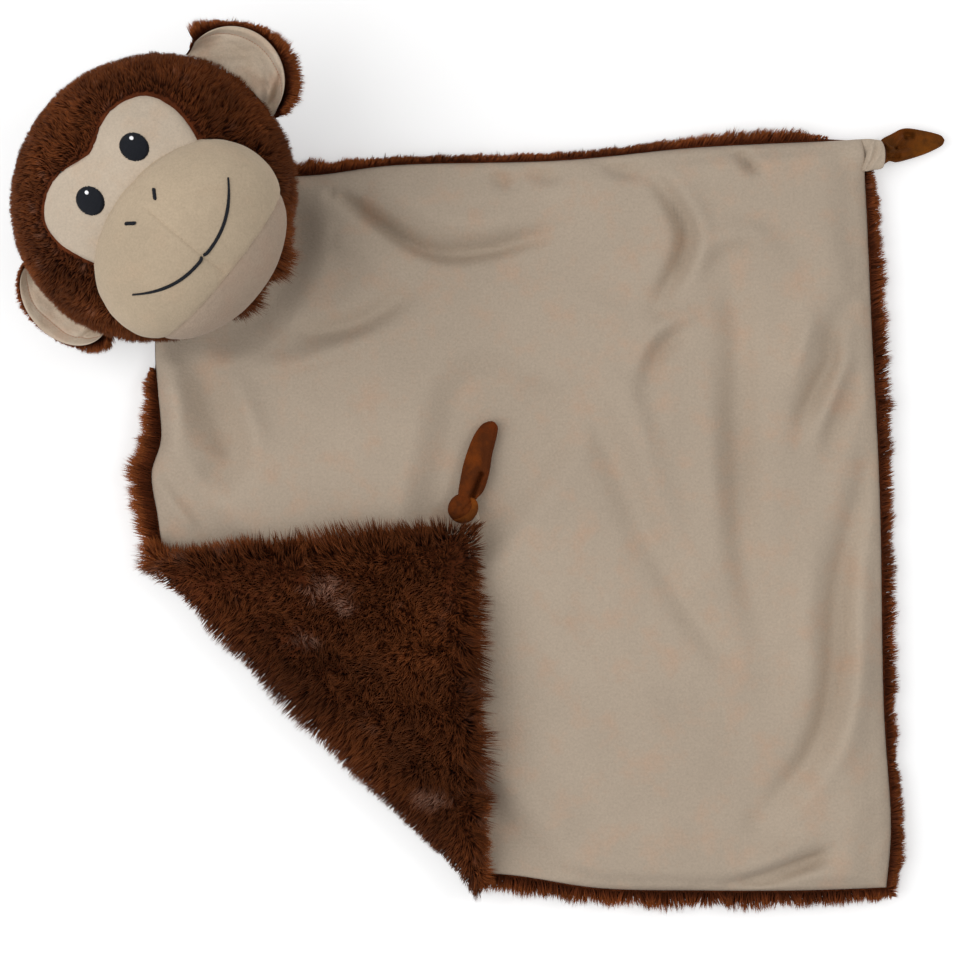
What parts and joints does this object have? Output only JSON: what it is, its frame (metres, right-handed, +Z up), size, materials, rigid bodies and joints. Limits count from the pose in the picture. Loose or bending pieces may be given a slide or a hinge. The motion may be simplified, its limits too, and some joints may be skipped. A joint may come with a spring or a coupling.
{
  "type": "comfort blanket lovey",
  "caption": "Stuffed monkey head sewn to the corner of a square two-sided blanket of long-pile plush and smooth velour, with knotted corner tabs.",
  "frame": {"origin": "under the middle of the blanket, on the surface that it lies on", "axes": "+Z up, +X to the right and +Y away as seen from above with the folded corner near the viewer"},
  "size_m": [0.4527, 0.4221, 0.1401],
  "materials": {
    "brown_plush": "long, tufted dark brown pile",
    "cream_velour": "short smooth cream pile",
    "chestnut_velour": "short smooth red-brown pile",
    "black_stitch": "satin stitch",
    "white_stitch": "satin stitch",
    "fibre_filling": "loose polyester fibre"
  },
  "bodies": {
    "blanket": {"blanket_back_plush": "brown_plush", "blanket_front_velour": "cream_velour", "top_corner_cuff": "cream_velour", "flap_corner_cuff": "cream_velour"},
    "head": {"neck": "brown_plush", "head_filling": "fibre_filling", "head_front_plush": "brown_plush", "head_back_left_plush": "brown_plush", "head_back_right_plush": "brown_plush", "face_mask": "cream_velour", "muzzle_filling": "fibre_filling", "muzzle_left": "cream_velour", "muzzle_right": "cream_velour", "muzzle_chin": "cream_velour", "eye_left": "black_stitch", "eye_right": "black_stitch", "eye_highlight_left": "white_stitch", "eye_highlight_right": "white_stitch", "nostril_left": "black_stitch", "nostril_right": "black_stitch", "mouth_left": "black_stitch", "mouth_right": "black_stitch"},
    "ear_left": {"ear_left_back": "brown_plush", "ear_left_front": "cream_velour"},
    "ear_right": {"ear_right_back": "brown_plush", "ear_right_front": "cream_velour"},
    "top_tab": {"top_corner_tab": "chestnut_velour"},
    "flap_tab": {"flap_corner_tab": "chestnut_velour"}
  },
  "joints": [
    {"name": "head_lift", "type": "hinge", "parent": "blanket", "child": "head", "pos_m": [-0.14661, 0.12783, 0.0133], "axis": [0.6388, 0.7694, 0], "range_deg": [0, 50]},
    {"name": "ear_left_flex", "type": "hinge", "parent": "head", "child": "ear_left", "pos_m": [-0.21659, 0.10928, 0.03368], "axis": [-0.7694, 0.6388, 0], "range_deg": [-12, 12], "stiffness_Nm_per_rad": 0.005},
    {"name": "ear_right_flex", "type": "hinge", "parent": "head", "child": "ear_right", "pos_m": [-0.13467, 0.20795, 0.07058], "axis": [-0.7694, 0.6388, 0], "range_deg": [-12, 12], "stiffness_Nm_per_rad": 0.005},
    {"name": "top_tab_swing", "type": "hinge", "parent": "blanket", "child": "top_tab", "pos_m": [0.17961, 0.18108, 0.00957], "axis": [0, 0, 1], "range_deg": [-25, 25], "stiffness_Nm_per_rad": 0.002},
    {"name": "flap_tab_swing", "type": "hinge", "parent": "blanket", "child": "flap_tab", "pos_m": [-0.03233, 0.00697, 0.0144], "axis": [0, 0, 1], "range_deg": [-20, 20], "stiffness_Nm_per_rad": 0.002}
  ]
}
